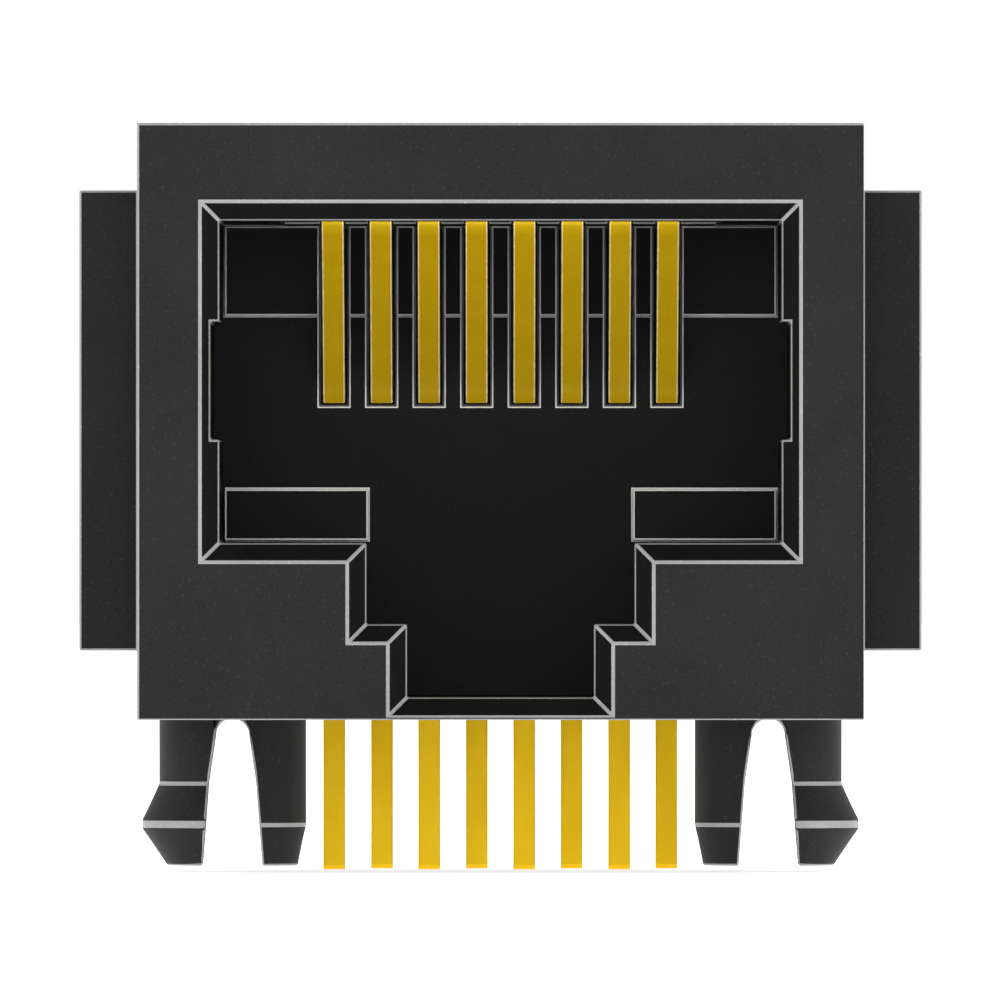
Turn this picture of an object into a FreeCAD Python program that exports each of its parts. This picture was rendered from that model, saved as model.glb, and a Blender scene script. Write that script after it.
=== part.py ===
import FreeCAD, Part
import math
import os
import re
from collections import namedtuple

import Sketcher
from FreeCAD import Vector

# A board jack for eight-way telephone and network plugs, in millimetres.
# A black housing with two split board pegs holds a black carrier, pushed in from the rear,
# and the carrier holds eight formed wires that run from the plug space down to the board.
# X is to the right seen from the mouth, Y runs to the rear, Z is up, and the board's top is at zero.
# The pieces are drawn from the front face backwards and then placed, so that the peg axes lie at Y zero.

CONTACTS = 8
ROWS = 2
MIDDLE = (CONTACTS + 1) / 2

SIZES = {
    # Housing block
    "body_width": 15.40,
    "roof_thick": 1.00,
    "rear_skirt": 1.10,
    # Side stops that bear on the back of a panel
    "stop_reach": 1.25,
    "stop_foot": 1.46,
    "stop_height": 9.78,
    "stop_setback": 3.05,
    "stop_thick": 1.60,
    # Mouth for the plug, above two steps for its latch
    "floor_thick": 0.48,
    "latch_width": 3.96,
    "latch_height": 1.55,
    "key_width": 5.68,
    "key_height": 1.72,
    "mouth_width": 11.92,
    "mouth_height": 6.83,
    "mouth_chamfer": 0.40,
    "latch_wall": 1.60,
    "latch_catch": 0.31,
    "groove_rise": 2.19,
    "groove_height": 2.50,
    "groove_sink": 0.19,
    "socket_depth": 12.60,
    # Recess under the roof for the carrier's plate, and the bay for its block
    "recess_start": 4.00,
    "bay_wall": 1.00,
    "bay_lead_in": 0.30,
    "window_setback": 1.90,
    "window_length": 1.90,
    "window_rise": 1.25,
    "window_height": 2.50,
    # Hollows in the underside, before and behind the peg roots
    "core_wall": 1.10,
    "core_web": 0.80,
    "core_roof": 1.15,
    "boss_half": 2.45,
    # Split pegs, with a barb on the outer leg only
    "peg_spacing": 11.43,
    "peg_radius": 1.57,
    "peg_length": 3.14,
    "tip_inset": 0.18,
    "tip_taper": 0.79,
    "inner_taper": 0.87,
    "barb_reach": 0.36,
    "barb_land": 0.19,
    "barb_ramp": 0.77,
    "slit_crown": 0.72,
    "slit_knee": 1.36,
    "slit_middle": 1.01,
    "slit_end": 1.28,
    "relief_gap": 0.20,
    "relief_sink": 0.20,
    # Carrier
    "fit_gap": 0.05,
    "carrier_foot": 0.30,
    "plate_height": 0.70,
    "rib_lead": 0.15,
    "end_rib": 0.765,
    "comb_reach": 0.60,
    "comb_height": 1.97,
    "rest_height": 1.14,
    "guide_slack": 0.085,
    "guide_margin": 0.05,
    "guide_sink": 0.85,
    "tab_reach": 0.60,
    "arm_thick": 0.70,
    "side_core_wall": 1.20,
    "side_core_margin": 1.00,
    # Contacts
    "contact_pitch": 1.02,
    "wire_width": 0.47,
    "wire_thick": 0.30,
    "wire_slack": 0.03,
    "wire_cover": 0.07,
    "row_setback": 1.37,
    "row_offset": 6.35,
    "row_gap": 2.54,
    "rear_cover": 0.39,
    "tail_reach": 3.27,
    "tail_chamfer": 0.08,
    "bend_radius": 0.60,
    "beam_sink": 0.35,
    "beam_drop": 3.86,
}

# Levels above the board, as formulas of the sizes
KEY_FLOOR = "(floor_thick + latch_height)"
MOUTH_FLOOR = f"({KEY_FLOOR} + key_height)"
MOUTH_TOP = f"({MOUTH_FLOOR} + mouth_height)"
PLATE_LOW = f"({MOUTH_TOP} - fit_gap)"
CHANNEL_FLOOR = f"({MOUTH_TOP} + plate_height)"
WIRE_LEVEL = f"({CHANNEL_FLOOR} + wire_thick / 2)"
ROOF = f"({CHANNEL_FLOOR} + wire_thick + wire_cover)"
CARRIER_TOP = f"({ROOF} - fit_gap)"
BODY_HEIGHT = f"({ROOF} + roof_thick)"
BEAM_LOW = f"({MOUTH_TOP} - beam_drop)"
BEAM_LEVEL = f"({BEAM_LOW} + wire_thick / 2)"
GUIDE_FOOT = f"({BEAM_LOW} - guide_margin)"
WINDOW_FOOT = f"({MOUTH_FLOOR} + window_rise)"

# Depths behind the front face
PLUG_STOP = "(socket_depth - comb_reach)"
FRONT_ROW = "(socket_depth + row_setback)"
PEG_DEPTH = f"({FRONT_ROW} - row_offset)"
CARRIER_REAR = f"({FRONT_ROW} + row_gap + rear_cover)"
BODY_DEPTH = f"({CARRIER_REAR} + rear_skirt)"
WINDOW_START = "(socket_depth + window_setback)"
WINDOW_END = f"({WINDOW_START} + window_length)"
BEAM_END = "(socket_depth + beam_sink)"

# Distances to the side of the middle plane
POCKET_HALF = "(key_width / 2 + latch_catch)"
SOCKET_HALF = "(mouth_width / 2 - fit_gap)"
BAY_HALF = "(body_width / 2 - bay_wall)"
CARRIER_HALF = f"({BAY_HALF} - fit_gap)"
PEG_AXIS = "(peg_spacing / 2)"
PLATE_HALF = f"({MIDDLE - 1} * contact_pitch + wire_width / 2 + wire_slack + end_rib)"

# The plate's round nose, and the wires' wrap round it
PLATE_FRONT = "(recess_start + fit_gap)"
NOSE_RADIUS = f"(({CHANNEL_FLOOR} - {PLATE_LOW}) / 2)"
NOSE_DEPTH = f"({PLATE_FRONT} + rib_lead + wire_thick + {NOSE_RADIUS})"
NOSE_LEVEL = f"(({CHANNEL_FLOOR} + {PLATE_LOW}) / 2)"
WRAP_RADIUS = f"({NOSE_RADIUS} + wire_thick / 2)"
BEND_INSIDE = "(bend_radius - wire_thick / 2)"

# The pegs' outline, below the board's top
BARB_RADIUS = "(peg_radius + barb_reach)"
TIP_RADIUS = "(peg_radius - tip_inset)"
BARB_END = "(peg_length - tip_taper)"
BARB_FULL = f"({BARB_END} - barb_land)"
BARB_START = f"({BARB_FULL} - barb_ramp)"

doc = FreeCAD.newDocument("board_jack")
sheet = doc.addObject("Spreadsheet::Sheet", "sizes")
for line, (alias, size) in enumerate(SIZES.items(), start=1):
    sheet.set(f"A{line}", alias)
    sheet.set(f"B{line}", str(size))
    sheet.setAlias(f"B{line}", alias)
doc.recompute()

# An edge's points as a sketch counts them, and how near two places are to count as one
START, END, CENTRE = range(1, 4)
TOUCH = 10 * Part.Precision.confusion()

# A corner of an outline. With a radius, the side that leads to it is an arc: turn is 1 for an arc
# that turns left on its way and -1 for one that turns right.
Corner = namedtuple("Corner", "across up radius turn", defaults=(None, 1))


def formula(text):
    """The text with each size's name led to its cell in the sheet."""
    return re.sub(r"\b([a-z]+(?:_[a-z]+)+)\b", r"sizes.\1", text)


def value(text):
    """The number that a formula of the sizes gives."""
    return float(sheet.evalExpression(formula(text)))


def role(body, name):
    """The plane or axis of the body's own origin that has this role."""
    return next(item for item in body.Origin.OriginFeatures if item.Role == name)


def body(label):
    """An empty body, moved forwards so that the peg axes come to lie at Y zero."""
    new = doc.addObject("PartDesign::Body", label)
    new.Label = label
    new.setExpression("Placement.Base.y", formula(f"-{PEG_DEPTH}"))
    return new


def sketch(owner, name, plane, lift="0"):
    """An empty sketch on one of the body's planes, lifted along that plane's normal."""
    new = owner.newObject("Sketcher::SketchObject", name)
    new.AttachmentSupport = (role(owner, plane), "")
    new.MapMode = "FlatFace"
    new.setExpression("AttachmentOffset.Base.z", formula(lift))
    return new


def fix_point(flat, edge, end, across, up):
    """Tie a point of a sketch to two formulas, measured from the sketch's origin."""
    for kind, text in (("DistanceX", across), ("DistanceY", up)):
        number = flat.addConstraint(Sketcher.Constraint(kind, -1, 1, edge, end, value(text)))
        flat.setExpression(f"Constraints[{number}]", formula(text))


def fix_radius(flat, edge, text):
    """Tie the radius of an arc or circle to a formula."""
    number = flat.addConstraint(Sketcher.Constraint("Radius", edge, value(text)))
    flat.setExpression(f"Constraints[{number}]", formula(text))


def arc_between(start, end, radius, turn):
    """The short arc from start to end that turns left (1) or right (-1)."""
    chord = end - start
    reach = math.sqrt(radius ** 2 - (chord.Length / 2) ** 2)
    aside = Vector(-chord.y, chord.x, 0).normalize() * reach * turn
    centre = start + chord * 0.5 + aside
    angles = [math.atan2(point.y - centre.y, point.x - centre.x) for point in (start, end)]
    if turn < 0:
        angles.reverse()
    return Part.ArcOfCircle(Part.Circle(centre, Vector(0, 0, 1), radius), *angles)


def draw(flat, corners):
    """Draw a closed outline through the corners and tie every corner to its formulas."""
    first = flat.GeometryCount
    places = [Vector(value(corner.across), value(corner.up), 0) for corner in corners]
    ends = []
    for number, corner in enumerate(corners):
        following = (number + 1) % len(corners)
        target = corners[following]
        if target.radius is None:
            flat.addGeometry(Part.LineSegment(places[number], places[following]), False)
            ends.append((START, END))
        else:
            arc = arc_between(places[number], places[following], value(target.radius), target.turn)
            edge = flat.addGeometry(arc, False)
            fix_radius(flat, edge, target.radius)
            ends.append((START, END) if target.turn > 0 else (END, START))
    for number, corner in enumerate(corners):
        before = number - 1 if number else len(corners) - 1
        joint = Sketcher.Constraint(
            "Coincident", first + before, ends[before][1], first + number, ends[number][0]
        )
        flat.addConstraint(joint)
        fix_point(flat, first + number, ends[number][0], corner.across, corner.up)


def rectangle(left, right, low, high):
    """The corners of an upright rectangle."""
    return [Corner(left, low), Corner(right, low), Corner(right, high), Corner(left, high)]


def outline(owner, name, plane, lift, corners):
    """A sketch with one closed outline."""
    flat = sketch(owner, name + "_outline", plane, lift)
    draw(flat, corners)
    return flat


def extrude(kind, owner, name, flat, length=None, reverse=False, both=False):
    """A pad or pocket of a sketch. With no length a pocket goes right through."""
    feature = owner.newObject(f"PartDesign::{kind}", name)
    feature.Profile = flat
    if both:
        feature.SideType = "Symmetric"
    if length is None:
        feature.Type = "ThroughAll"
    else:
        feature.setExpression("Length", formula(length))
    feature.Reversed = reverse
    owner.Tip = feature
    return feature


def pad_back(owner, name, corners, start, end):
    """Add material behind an upright outline, from one depth to another."""
    flat = outline(owner, name, "XZ_Plane", f"-({start})", corners)
    return extrude("Pad", owner, name, flat, f"{end} - {start}", reverse=True)


def cut_back(owner, name, corners, start, end):
    """Take away material behind an upright outline, from one depth to another."""
    flat = outline(owner, name, "XZ_Plane", f"-({start})", corners)
    return extrude("Pocket", owner, name, flat, f"{end} - {start}")


def cut_up(owner, name, corners, height):
    """Take away material above an outline that lies on the board."""
    flat = outline(owner, name, "XY_Plane", "0", corners)
    return extrude("Pocket", owner, name, flat, height, reverse=True)


def mirror(owner, name, features):
    """Repeat features on the other side of the middle plane."""
    copy = owner.newObject("PartDesign::Mirrored", name)
    copy.Originals = features
    copy.MirrorPlane = (role(owner, "YZ_Plane"), [""])
    owner.Tip = copy
    return copy


def repeat_across(owner, name, features, spacing, count):
    """Repeat features to the right at an even spacing."""
    row = owner.newObject("PartDesign::LinearPattern", name)
    row.Originals = features
    row.Direction = (role(owner, "X_Axis"), [""])
    row.Mode = "Spacing"
    row.setExpression("Offset", formula(spacing))
    row.Occurrences = count
    owner.Tip = row
    return row


def contact_across(number):
    """How far to the right a contact lies, counted from the left of the mouth."""
    return f"(({number} - {MIDDLE}) * contact_pitch)"


def contact_row(number):
    """The depth of the row of board holes that a contact's tail goes into."""
    return f"({FRONT_ROW} + {(number - 1) % ROWS} * row_gap)"


def housing_mouth(housing):
    """Cut the plug space, with its latch steps, lead-in and side grooves."""
    right = [
        Corner("latch_width / 2", "floor_thick"),
        Corner("latch_width / 2", KEY_FLOOR),
        Corner("key_width / 2", KEY_FLOOR),
        Corner("key_width / 2", MOUTH_FLOOR),
        Corner("mouth_width / 2", MOUTH_FLOOR),
        Corner("mouth_width / 2", MOUTH_TOP),
    ]
    left = [Corner(f"-{corner.across}", corner.up) for corner in reversed(right)]
    mouth = cut_back(housing, "mouth", right + left, "0", "socket_depth")
    doc.recompute()
    lead_in = housing.newObject("PartDesign::Chamfer", "lead_in")
    lead_in.Base = (mouth, front_edges(mouth.Shape, value("body_width / 2"), value(BODY_HEIGHT)))
    lead_in.setExpression("Size", formula("mouth_chamfer"))
    housing.Tip = lead_in
    half = "(mouth_width / 2 + groove_sink)"
    foot = f"{MOUTH_FLOOR} + groove_rise"
    grooves = rectangle(f"-{half}", half, foot, f"{foot} + groove_height")
    cut_back(housing, "side_grooves", grooves, "0", "socket_depth")


def front_edges(shape, half, height):
    """The names of the mouth's own edges in the front face, without the block's outer ones."""
    names = []
    for number, edge in enumerate(shape.Edges, start=1):
        box = edge.BoundBox
        in_front = box.YMax < TOUCH
        on_rim = box.XMin > half - TOUCH or box.XMax < TOUCH - half or box.ZMin > height - TOUCH
        if in_front and not on_rim and box.ZMax > TOUCH:
            names.append(f"Edge{number}")
    return names


def make_housing():
    """The black moulding that the plug goes into."""
    housing = body("housing")
    block = rectangle("-body_width / 2", "body_width / 2", "0", BODY_HEIGHT)
    pad_back(housing, "block", block, "0", BODY_DEPTH)
    stop_half = "(body_width / 2 + stop_reach)"
    stops = rectangle(f"-{stop_half}", stop_half, "stop_foot", "stop_foot + stop_height")
    pad_back(housing, "panel_stops", stops, "stop_setback", "stop_setback + stop_thick")
    housing_mouth(housing)
    pocket = rectangle(f"-{POCKET_HALF}", POCKET_HALF, "floor_thick", MOUTH_FLOOR)
    cut_back(housing, "latch_pocket", pocket, "latch_wall", "socket_depth")
    recess_half = f"({PLATE_HALF} + fit_gap)"
    recess = rectangle(f"-{recess_half}", recess_half, MOUTH_TOP, ROOF)
    cut_back(housing, "roof_recess", recess, "recess_start", "socket_depth")
    housing_bay(housing)
    window = rectangle(WINDOW_START, WINDOW_END, WINDOW_FOOT, f"{WINDOW_FOOT} + window_height")
    flat = outline(housing, "snap_windows", "YZ_Plane", "0", window)
    extrude("Pocket", housing, "snap_windows", flat, both=True)
    housing_underside(housing)
    housing_pegs(housing)
    return housing


def housing_bay(housing):
    """Open the rear for the carrier, with a lead-in on the three edges that it passes."""
    bay = rectangle(f"-{BAY_HALF}", BAY_HALF, "0", ROOF)
    opened = cut_back(housing, "rear_bay", bay, "socket_depth", BODY_DEPTH)
    doc.recompute()
    half, top, rear = value(BAY_HALF), value(ROOF), value(BODY_DEPTH)
    names = []
    for number, edge in enumerate(opened.Shape.Edges, start=1):
        box = edge.BoundBox
        inside = abs(box.XMin) < half + TOUCH and abs(box.XMax) < half + TOUCH and box.ZMax < top + TOUCH
        if box.YMin > rear - TOUCH and inside and box.ZMax > TOUCH:
            names.append(f"Edge{number}")
    lead_in = housing.newObject("PartDesign::Chamfer", "bay_lead_in")
    lead_in.Base = (opened, names)
    lead_in.setExpression("Size", formula("bay_lead_in"))
    housing.Tip = lead_in


def housing_underside(housing):
    """Hollow the floor beside the plug's latch, before and behind each peg."""
    outer = "body_width / 2 - core_wall"
    inner = f"{POCKET_HALF} + core_web"
    ahead = rectangle(inner, outer, "core_wall", f"{PEG_DEPTH} - boss_half")
    behind = rectangle(inner, outer, f"{PEG_DEPTH} + boss_half", "socket_depth - core_wall")
    cores = [
        cut_up(housing, "core_ahead", ahead, f"{MOUTH_FLOOR} - core_roof"),
        cut_up(housing, "core_behind", behind, f"{MOUTH_FLOOR} - core_roof"),
    ]
    mirror(housing, "cores_left", cores)
    flat = sketch(housing, "peg_relief_outline", "XY_Plane")
    circle = flat.addGeometry(
        Part.Circle(Vector(value(PEG_AXIS), value(PEG_DEPTH), 0), Vector(0, 0, 1), value(BARB_RADIUS))
    )
    fix_point(flat, circle, CENTRE, PEG_AXIS, PEG_DEPTH)
    fix_radius(flat, circle, f"{BARB_RADIUS} + relief_gap")
    relief = extrude("Pocket", housing, "peg_relief", flat, "relief_sink", reverse=True)
    mirror(housing, "peg_relief_left", [relief])


def half_turn(housing, name, corners):
    """Turn a profile half a turn about the right peg's axis, evenly to both sides of its plane."""
    flat = outline(housing, name, "XZ_Plane", f"-{PEG_DEPTH}", corners)
    first, last = (Vector(value(PEG_AXIS), value(up), 0) for up in ("0", "peg_length"))
    axis = flat.addGeometry(Part.LineSegment(first, last), True)
    fix_point(flat, axis, START, PEG_AXIS, "0")
    fix_point(flat, axis, END, PEG_AXIS, "peg_length")
    leg = housing.newObject("PartDesign::Revolution", name)
    leg.Profile = flat
    leg.ReferenceAxis = (flat, ["Axis0"])
    leg.Angle = 180
    leg.Midplane = True
    housing.Tip = leg
    return leg


def housing_pegs(housing):
    """Two split pegs: outer legs with a barb that snaps under the board, plain inner legs."""
    root = Corner(PEG_AXIS, "relief_sink")
    end = Corner(PEG_AXIS, "-peg_length")
    outer = [
        end,
        Corner(f"{PEG_AXIS} + {TIP_RADIUS}", "-peg_length"),
        Corner(f"{PEG_AXIS} + {BARB_RADIUS}", f"-{BARB_END}"),
        Corner(f"{PEG_AXIS} + {BARB_RADIUS}", f"-{BARB_FULL}"),
        Corner(f"{PEG_AXIS} + peg_radius", f"-{BARB_START}"),
        Corner(f"{PEG_AXIS} + peg_radius", "relief_sink"),
        root,
    ]
    inner = [
        end,
        root,
        Corner(f"{PEG_AXIS} - peg_radius", "relief_sink"),
        Corner(f"{PEG_AXIS} - peg_radius", "inner_taper - peg_length"),
        Corner(f"{PEG_AXIS} - {TIP_RADIUS}", "-peg_length"),
    ]
    legs = [
        half_turn(housing, "peg_outer_leg", outer),
        half_turn(housing, "peg_inner_leg", inner),
    ]
    slit = [
        Corner(f"{PEG_AXIS} - slit_end / 2", "-peg_length"),
        Corner(f"{PEG_AXIS} + slit_end / 2", "-peg_length"),
        Corner(f"{PEG_AXIS} + slit_middle / 2", "-slit_knee"),
        Corner(f"{PEG_AXIS} + slit_crown / 2", "-slit_crown / 2"),
        Corner(PEG_AXIS, "0", "slit_crown / 2", 1),
        Corner(f"{PEG_AXIS} - slit_crown / 2", "-slit_crown / 2", "slit_crown / 2", 1),
        Corner(f"{PEG_AXIS} - slit_middle / 2", "-slit_knee"),
    ]
    flat = outline(housing, "peg_slit", "XZ_Plane", f"-{PEG_DEPTH}", slit)
    legs.append(extrude("Pocket", housing, "peg_slit", flat, both=True))
    mirror(housing, "peg_left", legs)


def wire_channel(carrier, number):
    """Cut one row's channels: round the nose, along the plate and down to the board."""
    row = contact_row(number)
    edge = "(wire_thick / 2 + wire_slack)"
    inside = f"({BEND_INSIDE} - wire_slack)"
    behind = CARRIER_REAR if number == ROWS else f"{row} + {edge}"
    channel = [
        Corner(PLATE_FRONT, PLATE_LOW),
        Corner(NOSE_DEPTH, PLATE_LOW),
        Corner(f"{NOSE_DEPTH} - {NOSE_RADIUS}", NOSE_LEVEL, NOSE_RADIUS, -1),
        Corner(NOSE_DEPTH, CHANNEL_FLOOR, NOSE_RADIUS, -1),
        Corner(f"{row} - {edge} - {inside}", CHANNEL_FLOOR),
        Corner(f"{row} - {edge}", f"{CHANNEL_FLOOR} - {inside}", inside, -1),
        Corner(f"{row} - {edge}", "carrier_foot"),
        Corner(behind, "carrier_foot"),
        Corner(behind, CARRIER_TOP),
        Corner(PLATE_FRONT, CARRIER_TOP),
    ]
    name = f"wire_channel_{number}"
    flat = outline(carrier, name, "YZ_Plane", contact_across(number), channel)
    cut = extrude("Pocket", carrier, name, flat, "wire_width + 2 * wire_slack", both=True)
    repeat_across(carrier, f"wire_channels_{number}", [cut], f"{ROWS} * contact_pitch", CONTACTS // ROWS)


def make_carrier():
    """The black moulding that holds the wires, with the comb that guides their free ends."""
    carrier = body("contact_carrier")
    block = rectangle(f"-{CARRIER_HALF}", CARRIER_HALF, "carrier_foot", CARRIER_TOP)
    pad_back(carrier, "carrier_block", block, "socket_depth", CARRIER_REAR)
    plate = rectangle(f"-{PLATE_HALF}", PLATE_HALF, PLATE_LOW, CARRIER_TOP)
    pad_back(carrier, "top_plate", plate, PLATE_FRONT, "socket_depth")
    comb = rectangle(f"-{SOCKET_HALF}", SOCKET_HALF, f"{MOUTH_TOP} - comb_height", PLATE_LOW)
    pad_back(carrier, "comb", comb, PLUG_STOP, "socket_depth")
    rest = rectangle(
        "key_width / 2", SOCKET_HALF, f"{MOUTH_FLOOR} + fit_gap", f"{MOUTH_FLOOR} + rest_height"
    )
    rests = pad_back(carrier, "plug_rest", rest, PLUG_STOP, "socket_depth")
    mirror(carrier, "plug_rest_left", [rests])
    left = contact_across(1)
    guide_half = "(wire_width / 2 + guide_slack)"
    guide = rectangle(f"{left} - {guide_half}", f"{left} + {guide_half}", GUIDE_FOOT, PLATE_LOW)
    guide_cut = cut_back(carrier, "guide_slot", guide, PLUG_STOP, "socket_depth + guide_sink")
    repeat_across(carrier, "guide_slots", [guide_cut], "contact_pitch", CONTACTS)
    for number in range(1, ROWS + 1):
        wire_channel(carrier, number)
    carrier_sides(carrier)
    return carrier


def carrier_sides(carrier):
    """Snap tabs on springy side arms, freed by a hollow from the rear."""
    ramp = [
        Corner(CARRIER_HALF, f"{WINDOW_START} + fit_gap"),
        Corner(f"{CARRIER_HALF} + tab_reach", f"{WINDOW_END} - fit_gap"),
        Corner(CARRIER_HALF, f"{WINDOW_END} - fit_gap"),
    ]
    flat = outline(carrier, "snap_tab", "XY_Plane", f"{WINDOW_FOOT} + fit_gap", ramp)
    tab = extrude("Pad", carrier, "snap_tab", flat, "window_height - 2 * fit_gap")
    outer = f"{CARRIER_HALF} - arm_thick"
    low = "carrier_foot + side_core_margin"
    high = f"{PLATE_LOW} - side_core_margin"
    hollow = rectangle(PLATE_HALF, outer, low, high)
    core = cut_back(carrier, "side_core", hollow, "socket_depth + side_core_wall", CARRIER_REAR)
    mirror(carrier, "sides_left", [tab, core])


def beam_tangent():
    """Where the sloping beam leaves the wrap round the nose: the free end's tangent to the wrap."""
    centre = Vector(value(NOSE_DEPTH), value(NOSE_LEVEL), 0)
    end = Vector(value(BEAM_END), value(BEAM_LEVEL), 0)
    radius = value(WRAP_RADIUS)
    span = end - centre
    lean = math.atan2(span.y, span.x) - math.acos(radius / span.Length)
    return centre, centre + Vector(math.cos(lean), math.sin(lean), 0) * radius, end


def wire_path(contact, number):
    """The line that a wire's middle follows: up the tail, forwards, round the nose, down to the free end."""
    path = sketch(contact, f"wire_path_{number}", "YZ_Plane")
    row = contact_row(number)
    depth, level = value(row), value(WIRE_LEVEL)
    bend, wrap = value("bend_radius"), value(WRAP_RADIUS)
    nose, leave, end = beam_tangent()
    up = Vector(0, 0, 1)
    foot, knee = Vector(depth, -value("tail_reach"), 0), Vector(depth, level - bend, 0)
    rear, front = Vector(depth - bend, level, 0), Vector(nose.x, level, 0)
    turned = math.atan2(leave.y - nose.y, leave.x - nose.x) % (2 * math.pi)
    corner = Part.Circle(Vector(rear.x, knee.y, 0), up, bend)
    course = [
        Part.LineSegment(foot, knee),
        Part.ArcOfCircle(corner, 0, math.pi / 2),
        Part.LineSegment(rear, front),
        Part.ArcOfCircle(Part.Circle(nose, up, wrap), math.pi / 2, turned),
        Part.LineSegment(leave, end),
    ]
    tail, elbow, run, fold, beam = path.addGeometry(course, False)
    for before, after in ((tail, elbow), (elbow, run), (run, fold), (fold, beam)):
        path.addConstraint(Sketcher.Constraint("Tangent", before, END, after, START))
    path.addConstraint(Sketcher.Constraint("Vertical", tail))
    path.addConstraint(Sketcher.Constraint("Horizontal", run))
    fix_point(path, tail, START, row, "-tail_reach")
    fix_radius(path, elbow, "bend_radius")
    fix_radius(path, fold, WRAP_RADIUS)
    fix_point(path, fold, CENTRE, NOSE_DEPTH, NOSE_LEVEL)
    fix_point(path, beam, END, BEAM_END, BEAM_LEVEL)
    return path


def make_contact(number):
    """One formed wire, a rectangle swept along its path."""
    contact = body(f"contact_{number}")
    contact.setExpression("Placement.Base.x", formula(contact_across(number)))
    row = contact_row(number)
    path = wire_path(contact, number)
    section = rectangle(
        "-wire_width / 2", "wire_width / 2", f"{row} - wire_thick / 2", f"{row} + wire_thick / 2"
    )
    flat = outline(contact, f"wire_section_{number}", "XY_Plane", "-tail_reach", section)
    wire = contact.newObject("PartDesign::AdditivePipe", f"wire_{number}")
    wire.Profile = flat
    wire.Spine = (path, [f"Edge{edge}" for edge in range(1, path.GeometryCount + 1)])
    contact.Tip = wire
    doc.recompute()
    foot = -value("tail_reach")
    ends = [
        f"Edge{count}"
        for count, edge in enumerate(wire.Shape.Edges, start=1)
        if edge.BoundBox.ZMax < foot + TOUCH and edge.BoundBox.XLength > edge.BoundBox.YLength
    ]
    tip = contact.newObject("PartDesign::Chamfer", f"tail_tip_{number}")
    tip.Base = (wire, ends)
    tip.setExpression("Size", formula("tail_chamfer"))
    contact.Tip = tip
    return contact


pieces = [make_housing(), make_carrier()]
pieces += [make_contact(number) for number in range(1, CONTACTS + 1)]
doc.recompute()

for item in doc.Objects:
    if "Invalid" in item.State or "Error" in item.State:
        raise RuntimeError(f"{item.Label} failed: {item.State}")
for piece in pieces:
    if piece.Shape.isNull() or not piece.Shape.isValid():
        raise RuntimeError(f"{piece.Label} has no valid shape")

os.makedirs("parts", exist_ok=True)
for piece in pieces:
    piece.Shape.exportStep(os.path.join("parts", f"{piece.Label}.step"))
    box = piece.Shape.BoundBox
    print(f"{piece.Label}: {len(piece.Shape.Solids)} solid, {piece.Shape.Volume:.3f} mm3, {box}")
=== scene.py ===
"""The looks of an eight-way board jack: a black housing, a black carrier and eight gold-plated wires.

Each solid of the frame is copied, worked as its mould or bending tool leaves it, dressed in a
procedural finish and set back in its place. Its rounded edges carry painted highlights, and the
housing's faces inside the block carry painted shade. A pale floor, a white room and soft lamps stand
round it.
"""
import logging
import math
from contextlib import contextmanager
from dataclasses import dataclass, field
from enum import Enum, IntEnum
from typing import Callable, Iterator, Sequence

import bmesh
import bpy
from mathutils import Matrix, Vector


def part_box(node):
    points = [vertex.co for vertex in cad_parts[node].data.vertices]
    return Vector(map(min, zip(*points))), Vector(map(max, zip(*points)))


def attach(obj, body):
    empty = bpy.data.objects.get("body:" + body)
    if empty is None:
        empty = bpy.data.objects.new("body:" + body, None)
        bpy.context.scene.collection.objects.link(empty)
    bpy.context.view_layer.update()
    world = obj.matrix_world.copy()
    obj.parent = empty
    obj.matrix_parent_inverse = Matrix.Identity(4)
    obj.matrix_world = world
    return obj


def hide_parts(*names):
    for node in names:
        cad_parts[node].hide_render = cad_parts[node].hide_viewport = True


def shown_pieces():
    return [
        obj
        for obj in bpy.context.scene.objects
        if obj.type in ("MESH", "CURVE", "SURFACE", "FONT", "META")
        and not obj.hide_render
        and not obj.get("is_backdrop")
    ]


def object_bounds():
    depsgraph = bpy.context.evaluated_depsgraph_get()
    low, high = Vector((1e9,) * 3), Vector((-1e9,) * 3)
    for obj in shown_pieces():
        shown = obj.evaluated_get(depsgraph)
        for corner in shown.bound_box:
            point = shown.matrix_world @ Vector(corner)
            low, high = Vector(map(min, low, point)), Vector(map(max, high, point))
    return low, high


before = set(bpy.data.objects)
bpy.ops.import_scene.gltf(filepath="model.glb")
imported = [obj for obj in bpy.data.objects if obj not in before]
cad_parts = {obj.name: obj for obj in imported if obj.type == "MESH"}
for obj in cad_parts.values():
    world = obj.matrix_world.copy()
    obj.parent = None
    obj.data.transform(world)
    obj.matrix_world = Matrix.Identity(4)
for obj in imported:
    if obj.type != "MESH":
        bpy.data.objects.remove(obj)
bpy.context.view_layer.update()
LOG = logging.getLogger("board_jack")
MM = 0.001
CONTACTS = 8

Colour = tuple[float, float, float]
Point = tuple[float, float, float]
Band = tuple[float, float]
Spot = tuple[float, float]
PointTest = Callable[[Vector], bool]
FaceTest = Callable[[bmesh.types.BMFace], bool]
WHITE: Colour = (1.0, 1.0, 1.0)
WHOLE_BAND: Band = (0.0, 1.0)
WHOLE_ROUND = 1.0


class Slot(Enum):
    """Material slots of the record."""

    HOUSING = "housing"
    CARRIER = "carrier"
    CONTACTS = "contacts"


class Element(Enum):
    """What is selected in edit mode."""

    VERTEX = "VERT"
    EDGE = "EDGE"
    FACE = "FACE"


class Working(Enum):
    """What a tool does to a solid."""

    CUT = "DIFFERENCE"
    ADD = "UNION"


class Coat(IntEnum):
    """Where each finish stands in a dressed piece's list of materials."""

    FACE = 0
    # EDGE: a much lighter material on the rounded edges, a painted highlight
    EDGE = 1
    # INNER: painted shade on the housing's inner faces, and a painted highlight on the carrier's comb
    # edges
    INNER = 2


class MixSocket(IntEnum):
    """Sockets of a Mix node that mixes colours."""

    FACTOR = 0
    FIRST = 6
    SECOND = 7
    RESULT = 2


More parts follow.
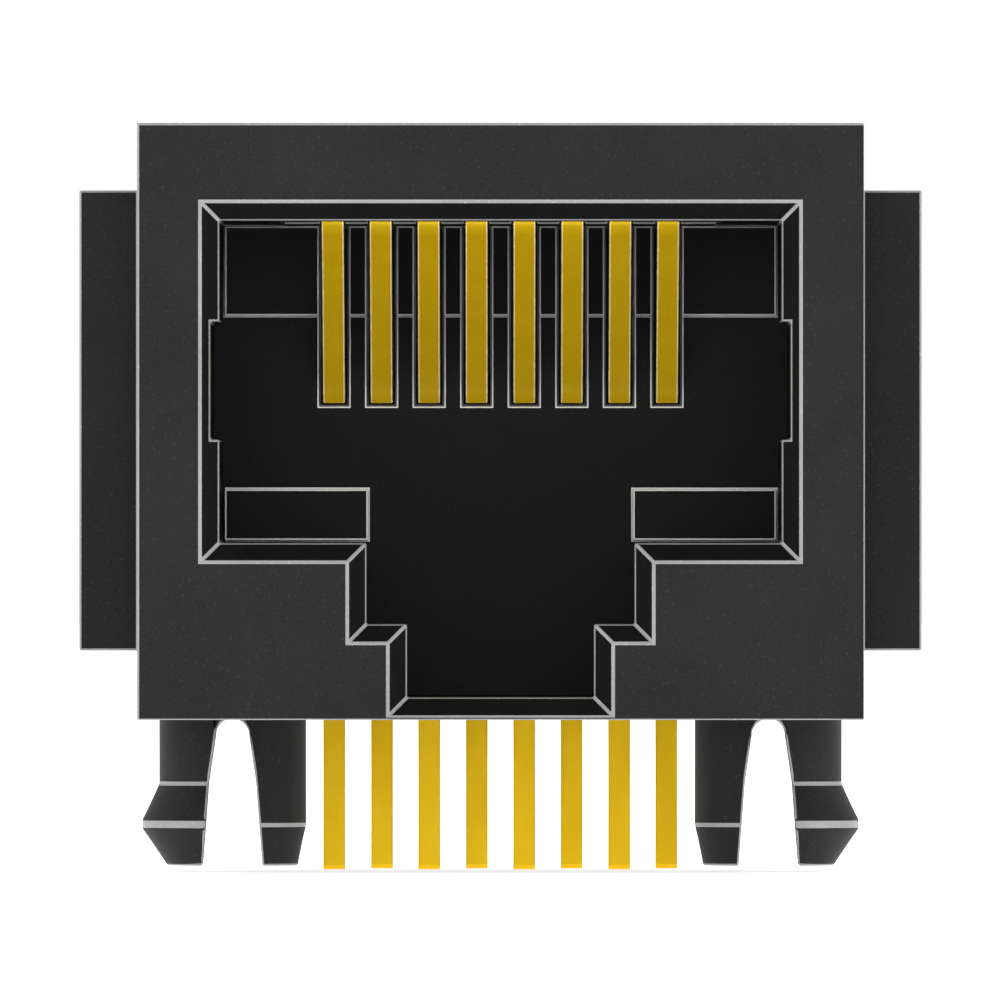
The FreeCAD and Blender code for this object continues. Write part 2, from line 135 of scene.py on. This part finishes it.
def pick(piece: bpy.types.Object) -> None:
    """Makes one object the only one selected, and the active one.

    Args:
        piece: The object.
    """
    bpy.ops.object.select_all(action="DESELECT")
    piece.select_set(True)
    bpy.context.view_layer.objects.active = piece


@contextmanager
def editing(piece: bpy.types.Object, element: Element = Element.VERTEX) -> Iterator[None]:
    """Opens a piece in edit mode with nothing selected, and closes it again.

    Args:
        piece: The mesh object to edit.
        element: What is selected in it.
    """
    pick(piece)
    bpy.ops.object.mode_set(mode="EDIT")
    bpy.ops.mesh.select_mode(type=element.value)
    bpy.ops.mesh.select_all(action="DESELECT")
    yield
    bpy.ops.object.mode_set(mode="OBJECT")


def select_edges(piece: bpy.types.Object, place: PointTest) -> None:
    """Selects the edges that lie in a place, in edit mode.

    Args:
        piece: The mesh object in edit mode.
        place: Says whether a point lies in the place.
    """
    mesh = bmesh.from_edit_mesh(piece.data)
    for edge in mesh.edges:
        edge.select_set(all(place(vertex.co) for vertex in edge.verts))
    bmesh.update_edit_mesh(piece.data)


def select_faces(piece: bpy.types.Object, wanted: FaceTest) -> None:
    """Selects the faces that answer a test, in edit mode.

    Args:
        piece: The mesh object in edit mode.
        wanted: The test for one face.
    """
    mesh = bmesh.from_edit_mesh(piece.data)
    for face in mesh.faces:
        face.select_set(wanted(face))
    bmesh.update_edit_mesh(piece.data)


def apply_modifier(piece: bpy.types.Object, kind: str, **settings: object) -> None:
    """Adds a modifier to a piece and applies it.

    Args:
        piece: The mesh object.
        kind: The modifier's type, such as BEVEL.
        **settings: Values of the modifier's own properties.
    """
    modifier = piece.modifiers.new(kind.title(), kind)
    for name, value in settings.items():
        setattr(modifier, name, value)
    pick(piece)
    bpy.ops.object.modifier_apply(modifier=modifier.name)


def joined(parts: Sequence[bpy.types.Object]) -> bpy.types.Object:
    """Joins several mesh objects into the first one.

    Args:
        parts: The objects, at least one.

    Returns:
        The first object, which holds them all.
    """
    pick(parts[0])
    for part in parts:
        part.select_set(True)
    bpy.ops.object.join()
    return bpy.context.view_layer.objects.active


class NodeSheet:
    """A node tree that is filled one node at a time."""

    def __init__(self, tree: bpy.types.NodeTree) -> None:
        """Keeps the tree, emptied of its first nodes."""
        self.tree = tree
        self.tree.nodes.clear()

    def add(self, kind: str, inputs: dict[str | int, object] | None = None,
            **settings: object) -> bpy.types.Node:
        """Adds a node, sets it and joins its inputs.

        Args:
            kind: The node's type, such as ShaderNodeBump.
            inputs: Values for its inputs, or the sockets that feed them.
            **settings: Values of the node's own properties.

        Returns:
            The new node.
        """
        node = self.tree.nodes.new(kind)
        for name, value in settings.items():
            setattr(node, name, value)
        for name, value in (inputs or {}).items():
            if isinstance(value, bpy.types.NodeSocket):
                self.tree.links.new(value, node.inputs[name])
            else:
                node.inputs[name].default_value = value
        return node


def shared_group(name: str, sizes: Sequence[str],
                 results: Sequence[str]) -> tuple[NodeSheet, bpy.types.Node]:
    """Starts a shader node group that reads a position and some sizes.

    Args:
        name: The group's name.
        sizes: Its number inputs.
        results: Its number outputs.

    Returns:
        The sheet to fill, and the node that its inputs come from.
    """
    tree = bpy.data.node_groups.new(name, "ShaderNodeTree")
    tree.interface.new_socket("Position", in_out="INPUT", socket_type="NodeSocketVector")
    for size in sizes:
        tree.interface.new_socket(size, in_out="INPUT", socket_type="NodeSocketFloat")
    for result in results:
        tree.interface.new_socket(result, in_out="OUTPUT", socket_type="NodeSocketFloat")
    sheet = NodeSheet(tree)
    return sheet, sheet.add("NodeGroupInput")


def spread(sheet: NodeSheet, value: bpy.types.NodeSocket, source: Band,
           target: Band = WHOLE_BAND) -> bpy.types.NodeSocket:
    """Stretches one band of values over another, and cuts off what lies outside.

    Args:
        sheet: The sheet that the node goes on.
        value: The socket to read.
        source: The first and last value of the band that is read.
        target: The first and last value of the band that is given out.

    Returns:
        The socket with the new value.
    """
    limits = {"From Min": source[0], "From Max": source[1], "To Min": target[0], "To Max": target[1]}
    return sheet.add("ShaderNodeMapRange", {"Value": value, **limits}).outputs["Result"]


@dataclass(frozen=True)
class MouldTexture:
    """Shared marks of a moulded plastic: spark-eroded grain, flow of the melt, flecks of filler."""

    group_name: str = "Mould texture"
    grain_detail: float = 2.5
    flow_detail: float = 4.0
    flow_swirl: float = 1.4
    flow_band: Band = (0.32, 0.68)
    fleck_detail: float = 1.0
    fleck_band: Band = (0.62, 0.74)

    def group(self) -> bpy.types.NodeTree:
        """Builds the group once and gives it back.

        Returns:
            The group, with the outputs Grain, Flow and Flecks.
        """
        made = bpy.data.node_groups.get(self.group_name)
        if made:
            return made
        scales = ("Grain Scale", "Flow Scale", "Fleck Scale")
        sheet, given = shared_group(self.group_name, scales, ("Grain", "Flow", "Flecks"))
        position = given.outputs["Position"]
        grain = sheet.add("ShaderNodeTexNoise", {
            "Vector": position, "Scale": given.outputs["Grain Scale"], "Detail": self.grain_detail,
        })
        flow = sheet.add("ShaderNodeTexNoise", {
            "Vector": position, "Scale": given.outputs["Flow Scale"], "Detail": self.flow_detail,
            "Distortion": self.flow_swirl,
        })
        flecks = sheet.add("ShaderNodeTexNoise", {
            "Vector": position, "Scale": given.outputs["Fleck Scale"], "Detail": self.fleck_detail,
        })
        sheet.add("NodeGroupOutput", {
            "Grain": grain.outputs["Fac"],
            "Flow": spread(sheet, flow.outputs["Fac"], self.flow_band),
            "Flecks": spread(sheet, flecks.outputs["Fac"], self.fleck_band),
        })
        return sheet.tree


@dataclass(frozen=True)
class PlateTexture:
    """Shared marks of a drawn and plated wire: streaks along its run, and clouds in the plating."""

    group_name: str = "Plate texture"
    streak_detail: float = 3.0
    streak_stretch: float = 0.03
    cloud_detail: float = 3.0
    cloud_band: Band = (0.3, 0.7)

    def group(self) -> bpy.types.NodeTree:
        """Builds the group once and gives it back.

        Returns:
            The group, with the outputs Streaks and Clouds.
        """
        made = bpy.data.node_groups.get(self.group_name)
        if made:
            return made
        scales = ("Streak Scale", "Cloud Scale")
        sheet, given = shared_group(self.group_name, scales, ("Streaks", "Clouds"))
        position = given.outputs["Position"]
        drawn = sheet.add("ShaderNodeMapping", {
            "Vector": position, "Scale": (1.0, self.streak_stretch, self.streak_stretch),
        })
        streaks = sheet.add("ShaderNodeTexNoise", {
            "Vector": drawn.outputs["Vector"], "Scale": given.outputs["Streak Scale"],
            "Detail": self.streak_detail,
        })
        clouds = sheet.add("ShaderNodeTexNoise", {
            "Vector": position, "Scale": given.outputs["Cloud Scale"], "Detail": self.cloud_detail,
        })
        sheet.add("NodeGroupOutput", {
            "Streaks": streaks.outputs["Fac"],
            "Clouds": spread(sheet, clouds.outputs["Fac"], self.cloud_band),
        })
        return sheet.tree


def opaque(colour: Colour) -> tuple[float, float, float, float]:
    """Gives a colour with full alpha."""
    return (*colour, 1.0)


def grey(level: float) -> Colour:
    """Gives the neutral colour of a level."""
    return (level,) * 3


def mixed(sheet: NodeSheet, factor: bpy.types.NodeSocket, first: Colour | bpy.types.NodeSocket,
          second: Colour) -> bpy.types.NodeSocket:
    """Mixes two colours by a mask.

    Args:
        sheet: The sheet that the node goes on.
        factor: The mask, from 0 for the first colour to 1 for the second.
        first: A colour, or the socket of one.
        second: A colour.

    Returns:
        The socket of the mixed colour.
    """
    start = first if isinstance(first, bpy.types.NodeSocket) else opaque(first)
    sockets = {MixSocket.FACTOR: factor, MixSocket.FIRST: start, MixSocket.SECOND: opaque(second)}
    inputs = {int(socket): value for socket, value in sockets.items()}
    return sheet.add("ShaderNodeMix", inputs, data_type="RGBA").outputs[int(MixSocket.RESULT)]


def new_material(name: str) -> tuple[bpy.types.Material, NodeSheet]:
    """Starts a material with an empty node sheet.

    Args:
        name: The material's name.

    Returns:
        The material, and the sheet to fill.
    """
    material = bpy.data.materials.new(name)
    material.use_nodes = True
    return material, NodeSheet(material.node_tree)


@dataclass(frozen=True)
class MouldedPlastic:
    """Black filled plastic as it leaves the mould."""

    name: str
    dark: Colour
    pale: Colour
    fleck: Colour
    roughness: Band
    gloss: float
    grain_depth: float
    grain_scale: float = 11000.0
    flow_scale: float = 260.0
    fleck_scale: float = 16000.0

    def material(self) -> bpy.types.Material:
        """Builds the finish.

        Returns:
            The material.
        """
        material, sheet = new_material(self.name)
        marks = sheet.add("ShaderNodeGroup", {
            "Position": sheet.add("ShaderNodeTexCoord").outputs["Object"],
            "Grain Scale": self.grain_scale, "Flow Scale": self.flow_scale,
            "Fleck Scale": self.fleck_scale,
        }, node_tree=MouldTexture().group())
        melt = mixed(sheet, marks.outputs["Flow"], self.dark, self.pale)
        bump = sheet.add("ShaderNodeBump", {
            "Height": marks.outputs["Grain"], "Distance": self.grain_depth * MM,
        })
        shader = sheet.add("ShaderNodeBsdfPrincipled", {
            "Base Color": mixed(sheet, marks.outputs["Flecks"], melt, self.fleck),
            "Roughness": spread(sheet, marks.outputs["Flow"], WHOLE_BAND, self.roughness),
            "Specular IOR Level": self.gloss,
            "Normal": bump.outputs["Normal"],
        })
        sheet.add("ShaderNodeOutputMaterial", {"Surface": shader.outputs["BSDF"]})
        return material


@dataclass(frozen=True)
class PlatedWire:
    """Gold plating over a drawn flat wire."""

    name: str
    gold: Colour
    pale: Colour
    metallic: float
    roughness: Band
    gloss: float
    streak_depth: float
    streak_scale: float = 26000.0
    streak_band: Band = (0.3, 0.7)
    cloud_scale: float = 900.0

    def material(self) -> bpy.types.Material:
        """Builds the finish.

        Returns:
            The material.
        """
        material, sheet = new_material(self.name)
        marks = sheet.add("ShaderNodeGroup", {
            "Position": sheet.add("ShaderNodeTexCoord").outputs["Object"],
            "Streak Scale": self.streak_scale, "Cloud Scale": self.cloud_scale,
        }, node_tree=PlateTexture().group())
        bump = sheet.add("ShaderNodeBump", {
            "Height": marks.outputs["Streaks"], "Distance": self.streak_depth * MM,
        })
        shader = sheet.add("ShaderNodeBsdfPrincipled", {
            "Base Color": mixed(sheet, marks.outputs["Clouds"], self.gold, self.pale),
            "Metallic": self.metallic,
            "Specular IOR Level": self.gloss,
            "Roughness": spread(sheet, marks.outputs["Streaks"], self.streak_band, self.roughness),
            "Normal": bump.outputs["Normal"],
        })
        sheet.add("ShaderNodeOutputMaterial", {"Surface": shader.outputs["BSDF"]})
        return material


HOUSING_FACE = MouldedPlastic(
    "Housing plastic", dark=grey(0.0062), pale=grey(0.0079), fleck=grey(0.0155),
    roughness=(0.51, 0.55), gloss=0.14, grain_depth=0.0016)
# Painted highlight: the housing's rounded edges get a plastic some twenty times lighter than its faces.
HOUSING_EDGE_HIGHLIGHT = MouldedPlastic(
    "Housing painted edge highlight", dark=grey(0.13), pale=grey(0.16), fleck=grey(0.19),
    roughness=(0.3, 0.38), gloss=0.6, grain_depth=0.0004)
# Painted shade: the housing's faces inside the block get a plastic about four times darker than its
# outer faces.
HOUSING_INNER_SHADE = MouldedPlastic(
    "Housing painted inner shade", dark=grey(0.0015), pale=grey(0.0021), fleck=grey(0.004),
    roughness=(0.40, 0.50), gloss=0.10, grain_depth=0.0008)
# The carrier's plastic is a little darker than the housing's. Part of that is painted shade for its
# place deep inside the mouth.
CARRIER_FACE = MouldedPlastic(
    "Carrier plastic", dark=(0.0046, 0.0046, 0.0047), pale=(0.0062, 0.0062, 0.0063), fleck=grey(0.010),
    roughness=(0.47, 0.51), gloss=0.15, grain_depth=0.0012)
# Painted highlight: the carrier's rounded edges get a plastic far lighter than its faces.
CARRIER_EDGE_HIGHLIGHT = MouldedPlastic(
    "Carrier painted edge highlight", dark=grey(0.15), pale=grey(0.18), fleck=grey(0.21),
    roughness=(0.3, 0.38), gloss=0.6, grain_depth=0.0004)
# Painted highlight: the comb's rounded edges get a near-white plastic.
COMB_EDGE_HIGHLIGHT = MouldedPlastic(
    "Comb painted edge highlight", dark=grey(0.62), pale=grey(0.68), fleck=grey(0.74),
    roughness=(0.3, 0.38), gloss=0.7, grain_depth=0.0004)
WIRE_FACE = PlatedWire(
    "Gold plating", gold=(0.465, 0.288, 0.003), pale=(0.50, 0.32, 0.006), metallic=0.60,
    roughness=(0.30, 0.42), gloss=0.2, streak_depth=0.0008)
# Painted highlight: the wires' rounded edges get a paler, lighter gold than their faces.
WIRE_EDGE_HIGHLIGHT = PlatedWire(
    "Gold plating painted highlight", gold=(0.84, 0.70, 0.32), pale=(0.88, 0.74, 0.40), metallic=0.6,
    roughness=(0.22, 0.32), gloss=0.5, streak_depth=0.0003)


@dataclass
class WorkedSolid:
    """One solid of the frame, copied and worked in millimetres, then set back in metres."""

    node: str
    name: str
    slot: Slot
    edge_round: float
    segments: int = 3
    merge_gap: float = 0.0008
    flat_turn: float = math.radians(0.5)
    sharp_turn: float = math.radians(20.0)
    piece: bpy.types.Object = field(init=False)

    def __post_init__(self) -> None:
        """Copies the node's mesh, joins its loose triangles and clears its split normals."""
        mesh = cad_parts[self.node].data.copy()
        mesh.materials.clear()
        self.piece = bpy.data.objects.new(self.name, mesh)
        bpy.context.scene.collection.objects.link(self.piece)
        self._rescale(1 / MM)
        bpy.ops.mesh.customdata_custom_splitnormals_clear()
        with editing(self.piece):
            bpy.ops.mesh.select_all(action="SELECT")
            bpy.ops.mesh.remove_doubles(threshold=self.merge_gap)
            bpy.ops.mesh.dissolve_limited(angle_limit=self.flat_turn)
            bpy.ops.mesh.select_all(action="SELECT")
            bpy.ops.mesh.mark_sharp(clear=True)

    def _rescale(self, factor: float) -> None:
        """Scales the piece about the origin and applies it, which also makes the piece active.

        Args:
            factor: The scale.
        """
        pick(self.piece)
        self.piece.scale = (factor,) * 3
        bpy.ops.object.transform_apply(location=False, rotation=False, scale=True)

    def combine(self, tool: bpy.types.Object, working: Working) -> None:
        """Cuts a tool out of the piece, or joins it on, and removes the tool.

        Args:
            tool: A closed mesh object, in millimetres.
            working: What the tool does.
        """
        apply_modifier(self.piece, "BOOLEAN", object=tool, operation=working.value, solver="EXACT")
        bpy.data.objects.remove(tool)

    def round_edges(self, fine: PointTest, fine_share: float, blunt: PointTest | None = None) -> None:
        """Rounds every sharp edge, and gives the rounds the lighter edge material, a painted highlight.

        Args:
            fine: Says where the edges are too close together for the whole round.
            fine_share: The share of the round that such edges get.
            blunt: Says where an edge is rounded though it turns only a little.
        """
        with editing(self.piece, Element.EDGE):
            bpy.ops.mesh.edges_select_sharp(sharpness=self.sharp_turn)
            bpy.ops.transform.edge_bevelweight(value=WHOLE_ROUND)
            select_edges(self.piece, fine)
            bpy.ops.transform.edge_bevelweight(value=fine_share - WHOLE_ROUND)
            if blunt:
                select_edges(self.piece, blunt)
                bpy.ops.transform.edge_bevelweight(value=WHOLE_ROUND)
        bpy.ops.object.shade_smooth()
        # The rounds take the lighter material of slot EDGE: a painted highlight.
        apply_modifier(self.piece, "BEVEL", limit_method="WEIGHT", width=self.edge_round,
                       segments=self.segments, use_clamp_overlap=False, harden_normals=True,
                       material=int(Coat.EDGE))

    def dress(self, finishes: Sequence[bpy.types.Material]) -> None:
        """Fills the piece's material slots, in the order that Coat gives."""
        for finish in finishes:
            self.piece.data.materials.append(finish)

    def finish_faces(self, wanted: FaceTest, coat: Coat) -> None:
        """Gives another finish to the faces that answer a test.

        Args:
            wanted: The test for one face.
            coat: The finish.
        """
        with editing(self.piece, Element.FACE):
            select_faces(self.piece, wanted)
            self.piece.active_material_index = int(coat)
            bpy.ops.object.material_slot_assign()

    def seat(self) -> bpy.types.Object:
        """Puts the piece back in metres, in the place of its node.

        Returns:
            The finished piece.
        """
        self._rescale(MM)
        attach(self.piece, "root")
        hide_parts(self.node)
        return self.piece


def disc_tool(place: Point, radius: float, depth: float, tilt: float = 0.0,
              sides: int = 40) -> bpy.types.Object:
    """Makes a round tool, upright or tilted back.

    Args:
        place: Its centre, in millimetres.
        radius: Its radius.
        depth: Its whole height.
        tilt: The turn about the X axis, in radians.
        sides: How many sides stand for the circle.

    Returns:
        The tool.
    """
    bpy.ops.mesh.primitive_cylinder_add(vertices=sides, radius=radius, depth=depth, location=place,
                                        rotation=(tilt, 0.0, 0.0), calc_uvs=False)
    tool = bpy.context.view_layer.objects.active
    bpy.ops.object.transform_apply()
    return tool


@dataclass
class HousingMoulding:
    """The housing, with its ejector marks and its gate on the underside; sizes in millimetres."""

    edge_round: float = 0.045
    lip_share: float = 0.6
    lip_level: float = 0.1
    lip_front: float = -7.3
    block_half: float = 7.7
    skin: float = 0.02
    peg_axis: float = 5.715
    taper_start: float = -2.27
    barb_reach: float = 1.8
    barb_rim: Band = (-2.42, -2.09)
    barb_painted_highlight: Band = (-2.33, -2.18)
    mark_radius: float = 0.6
    mark_sink: float = 0.06
    mark_places: tuple[Spot, ...] = ((-2.6, -5.4), (2.6, -5.4), (-2.6, 3.2), (2.6, 3.2))
    gate_place: Spot = (2.6, -1.1)
    gate_radius: float = 0.5
    gate_sink: float = 0.09
    stub_radius: float = 0.2
    stub_stand: float = 0.07
    low: Vector = field(init=False)
    high: Vector = field(init=False)

    def __post_init__(self) -> None:
        """Reads the housing's box from the frame, in millimetres."""
        self.low, self.high = (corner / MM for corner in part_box("housing"))

    def is_fine(self, point: Vector) -> bool:
        """Says whether a point lies on the thin lip below the latch slot, or in a mark of the mould.

        Args:
            point: The point.

        Returns:
            Whether it does.
        """
        if abs(point.z) >= self.lip_level:
            return False
        reach = self.mark_radius + self.lip_level
        places = (*self.mark_places, self.gate_place)
        in_mark = any(math.hypot(point.x - x, point.y - y) < reach for x, y in places)
        return in_mark or point.y < self.lip_front

    def is_blunt(self, point: Vector) -> bool:
        """Says whether a point lies where the inner leg of a peg starts to taper."""
        return abs(point.x) < self.peg_axis and abs(point.z - self.taper_start) < self.skin

    def is_inner_shade_face(self, face: bmesh.types.BMFace) -> bool:
        """Says whether a face lies within the block, where its colour is darkened as painted shade.

        Args:
            face: The face.

        Returns:
            Whether it does.
        """
        middle = face.calc_center_median()
        beside = abs(middle.x) < self.block_half - self.skin
        between = self.low.y + self.skin < middle.y < self.high.y - self.skin
        return beside and between and self.skin < middle.z < self.high.z - self.skin

    def on_barb(self, levels: Band) -> FaceTest:
        """Makes the test for the faces round a peg's barb that lie between two levels.

        Args:
            levels: The lower and the upper level.

        Returns:
            The test for one face.
        """
        low, high = levels

        def lies_there(face: bmesh.types.BMFace) -> bool:
            """Says whether a face lies round the barb between the two levels.

            Args:
                face: The face.

            Returns:
                Whether it does.
            """
            middle = face.calc_center_median()
            reach = math.hypot(abs(middle.x) - self.peg_axis, middle.y)
            return low < middle.z < high and reach > self.barb_reach

        return lies_there

    def build(self) -> bpy.types.Object:
        """Works the housing and dresses it.

        Returns:
            The finished piece.
        """
        solid = WorkedSolid("housing", "housing_moulding", Slot.HOUSING, self.edge_round)
        pins = [disc_tool((x, y, 0.0), self.mark_radius, 2 * self.mark_sink)
                for x, y in self.mark_places]
        gate = disc_tool((*self.gate_place, 0.0), self.gate_radius, 2 * self.gate_sink)
        solid.combine(joined([*pins, gate]), Working.CUT)
        stub = disc_tool((*self.gate_place, self.gate_sink), self.stub_radius, 2 * self.stub_stand)
        solid.combine(stub, Working.ADD)
        solid.dress((HOUSING_FACE.material(), HOUSING_EDGE_HIGHLIGHT.material(), HOUSING_INNER_SHADE.material()))
        # The inner faces take the darker material: painted shade.
        solid.finish_faces(self.is_inner_shade_face, Coat.INNER)
        solid.round_edges(self.is_fine, self.lip_share, self.is_blunt)
        # The faces round the barb's rim lose the edge highlight, and a band round its crest takes the
        # lighter edge material: a painted highlight.
        solid.finish_faces(self.on_barb(self.barb_rim), Coat.FACE)
        solid.finish_faces(self.on_barb(self.barb_painted_highlight), Coat.EDGE)
        return solid.seat()


@dataclass
class CarrierMoulding:
    """The carrier, with its comb in the plug space and its block in the bay; sizes in millimetres."""

    edge_round: float = 0.035
    mark_radius: float = 0.42
    mark_sink: float = 0.06
    mark_places: tuple[Spot, ...] = ((-5.6, 10.4), (5.6, 10.4))
    rear_face: float = 9.28
    mark_share: float = 0.6
    comb_depths: Band = (3.8, 5.0)

    def is_mark(self, point: Vector) -> bool:
        """Says whether a point lies in an ejector mark on the rear.

        Args:
            point: The point.

        Returns:
            Whether it does.
        """
        reach = self.mark_radius + self.mark_sink
        in_mark = any(math.hypot(point.x - x, point.z - z) < reach for x, z in self.mark_places)
        return in_mark and point.y > self.rear_face - 2 * self.mark_sink

    def is_comb_highlight_face(self, face: bmesh.types.BMFace) -> bool:
        """Says whether a face is a rounded edge of the comb or of a plug rest, which gets the brightest
        painted highlight.
        """
        front, back = self.comb_depths
        return face.material_index == Coat.EDGE and front < face.calc_center_median().y < back

    def build(self) -> bpy.types.Object:
        """Works the carrier and dresses it.

        Returns:
            The finished piece.
        """
        solid = WorkedSolid("contact_carrier", "carrier_moulding", Slot.CARRIER, self.edge_round)
        pins = [disc_tool((x, self.rear_face, z), self.mark_radius, 2 * self.mark_sink, math.pi / 2)
                for x, z in self.mark_places]
        solid.combine(joined(pins), Working.CUT)
        solid.dress((CARRIER_FACE.material(), CARRIER_EDGE_HIGHLIGHT.material(), COMB_EDGE_HIGHLIGHT.material()))
        solid.round_edges(self.is_mark, self.mark_share)
        # The comb's rounded edges take the near-white material of slot INNER: a painted highlight.
        solid.finish_faces(self.is_comb_highlight_face, Coat.INNER)
        return solid.seat()


@dataclass
class FormedWires:
    """Eight flat wires, bent over the carrier's nose and down to the board; sizes in millimetres."""

    edge_round: float = 0.03
    end_share: float = 0.5
    end_start: float = -3.0

    def is_end(self, point: Vector) -> bool:
        """Says whether a point lies on the narrowed end of a tail."""
        return point.z < self.end_start

    def is_tail_face(self, face: bmesh.types.BMFace) -> bool:
        """Says whether a face reaches down to the narrowed end of a tail."""
        return any(self.is_end(vertex.co) for vertex in face.verts)

    def build(self) -> list[bpy.types.Object]:
        """Works and dresses each wire.

        Returns:
            The finished pieces, from left to right.
        """
        finishes = (WIRE_FACE.material(), WIRE_EDGE_HIGHLIGHT.material())
        wires = []
        for number in range(1, CONTACTS + 1):
            solid = WorkedSolid(f"contact_{number}", f"wire_{number}", Slot.CONTACTS, self.edge_round)
            solid.dress(finishes)
            solid.round_edges(self.is_end, self.end_share)
            # The tail ends keep the plain plating, without the painted edge highlight.
            solid.finish_faces(self.is_tail_face, Coat.FACE)
            wires.append(solid.seat())
        return wires


@dataclass(frozen=True)
class Lamp:
    """A square soft lamp that faces the jack."""

    name: str
    azimuth: float
    elevation: float
    distance: float
    side: float
    radiance: float
    glossy: bool = True
    kept_to: str = ""

    def build(self, target: Vector) -> bpy.types.Object:
        """Hangs the lamp.

        Args:
            target: The point that it faces, in metres.

        Returns:
            The lamp.
        """
        turn, rise = math.radians(self.azimuth), math.radians(self.elevation)
        level = math.cos(rise)
        outward = Vector((math.sin(turn) * level, -math.cos(turn) * level, math.sin(rise)))
        bpy.ops.object.light_add(type="AREA", location=target + outward * self.distance)
        lamp = bpy.context.view_layer.objects.active
        lamp.name = self.name
        lamp.rotation_mode = "QUATERNION"
        lamp.rotation_quaternion = outward.to_track_quat("Z", "Y")
        lamp.data.size = self.side
        lamp.data.energy = self.radiance * math.pi * self.side ** 2
        lamp.visible_camera = False
        lamp.visible_glossy = self.glossy
        if self.kept_to:
            lit = bpy.data.collections.new(f"{self.name}_pieces")
            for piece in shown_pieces():
                if piece.name.startswith(self.kept_to):
                    lit.objects.link(piece)
            lamp.light_linking.receiver_collection = lit
            lamp.light_linking.blocker_collection = lit
        return lamp


@dataclass
class Studio:
    """A pale floor under the jack, a white room and soft lamps."""

    floor_side: float = 4.0
    floor_tint: Colour = grey(0.86)
    floor_roughness: float = 0.9
    floor_gloss: float = 0.1
    floor_glow: float = 0.68
    room_light: float = 0.8
    lamps: tuple[Lamp, ...] = (
        Lamp("key_lamp", azimuth=-34.0, elevation=42.0, distance=0.45, side=0.22, radiance=2.5),
        Lamp("fill_lamp", azimuth=38.0, elevation=30.0, distance=0.45, side=0.22, radiance=1.5),
        Lamp("mouth_lamp", azimuth=0.0, elevation=3.0, distance=0.45, side=0.14, radiance=32.0,
             glossy=False),
        Lamp("wire_lamp", azimuth=0.0, elevation=-48.0, distance=0.45, side=0.20, radiance=29.0,
             glossy=False, kept_to="wire_"),
        Lamp("left_peg_lamp", azimuth=-68.0, elevation=-12.0, distance=0.45, side=0.20, radiance=18.0,
             glossy=False, kept_to="housing_"),
        Lamp("right_peg_lamp", azimuth=68.0, elevation=-12.0, distance=0.45, side=0.20, radiance=18.0,
             glossy=False, kept_to="housing_"),
        Lamp("rear_lamp", azimuth=165.0, elevation=40.0, distance=0.5, side=0.25, radiance=4.0),
    )

    def build(self) -> list[bpy.types.Object]:
        """Lays the floor, lights the room and hangs the lamps.

        Returns:
            The floor and the lamps.
        """
        low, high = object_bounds()
        floor = self._floor(low.z)
        self._room()
        return [floor, *(lamp.build((low + high) / 2) for lamp in self.lamps)]

    def _floor(self, level: float) -> bpy.types.Object:
        """Lays the floor, which is clear from below, so that the underside can be looked at.

        Args:
            level: Its height, in metres.

        Returns:
            The floor.
        """
        bpy.ops.mesh.primitive_plane_add(size=self.floor_side, location=(0.0, 0.0, level))
        floor = bpy.context.view_layer.objects.active
        bpy.ops.object.transform_apply()
        floor.name = "floor"
        material, sheet = new_material("Pale floor")
        pale = sheet.add("ShaderNodeBsdfPrincipled", {
            "Base Color": opaque(self.floor_tint), "Roughness": self.floor_roughness,
            "Specular IOR Level": self.floor_gloss,
            "Emission Color": opaque(WHITE), "Emission Strength": self.floor_glow,
        })
        clear = sheet.add("ShaderNodeBsdfTransparent")
        side = sheet.add("ShaderNodeNewGeometry").outputs["Backfacing"]
        both = sheet.add("ShaderNodeMixShader", {
            0: side, 1: pale.outputs["BSDF"], 2: clear.outputs["BSDF"],
        })
        sheet.add("ShaderNodeOutputMaterial", {"Surface": both.outputs["Shader"]})
        floor.data.materials.append(material)
        floor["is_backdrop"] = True
        return floor

    def _room(self) -> None:
        """Makes the room white to the eye, and gives it a light of its own."""
        world = bpy.data.worlds.new("White room")
        world.use_nodes = True
        bpy.context.scene.world = world
        sheet = NodeSheet(world.node_tree)
        seen = sheet.add("ShaderNodeBackground", {"Color": opaque(WHITE)})
        light = sheet.add("ShaderNodeBackground", {"Color": opaque(WHITE), "Strength": self.room_light})
        path = sheet.add("ShaderNodeLightPath").outputs["Is Camera Ray"]
        both = sheet.add("ShaderNodeMixShader", {
            0: path, 1: light.outputs["Background"], 2: seen.outputs["Background"],
        })
        sheet.add("ShaderNodeOutputWorld", {"Surface": both.outputs["Shader"]})


@dataclass
class Viewpoint:
    """A far, level camera straight before the mouth, framed by what the picture shows in pixels."""

    picture_side: float = 1000.0
    stop_left: float = 78.0
    stop_right: float = 923.0
    board_row: float = 720.0
    lens: float = 1700.0
    sensor: float = 36.0
    sight: float = 40.0

    def build(self) -> bpy.types.Object:
        """Sets up the camera.

        Returns:
            The camera.
        """
        low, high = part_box("housing")
        scale = (high.x - low.x) / (self.stop_right - self.stop_left)
        middle = self.picture_side / 2
        across = (middle - (self.stop_left + self.stop_right) / 2) * scale
        level = (self.board_row - middle) * scale
        distance = self.picture_side * scale * self.lens / self.sensor
        bpy.ops.object.camera_add(location=(across, low.y - distance, level),
                                  rotation=(math.pi / 2, 0.0, 0.0))
        camera = bpy.context.view_layer.objects.active
        camera.data.lens = self.lens
        camera.data.sensor_width = self.sensor
        camera.data.clip_end = self.sight
        bpy.context.scene.camera = camera
        bpy.context.scene.view_settings.view_transform = "Standard"
        return camera


def main() -> None:
    """Builds the camera, the jack's pieces and the studio, and reports each."""
    logging.basicConfig(level=logging.INFO, format="%(message)s")
    Viewpoint().build()
    pieces = [HousingMoulding().build(), CarrierMoulding().build(), *FormedWires().build()]
    for piece in pieces:
        LOG.info("%s: %d faces", piece.name, len(piece.data.polygons))
    for thing in Studio().build():
        LOG.info("%s is in place", thing.name)


if __name__ == "__main__":
    main()
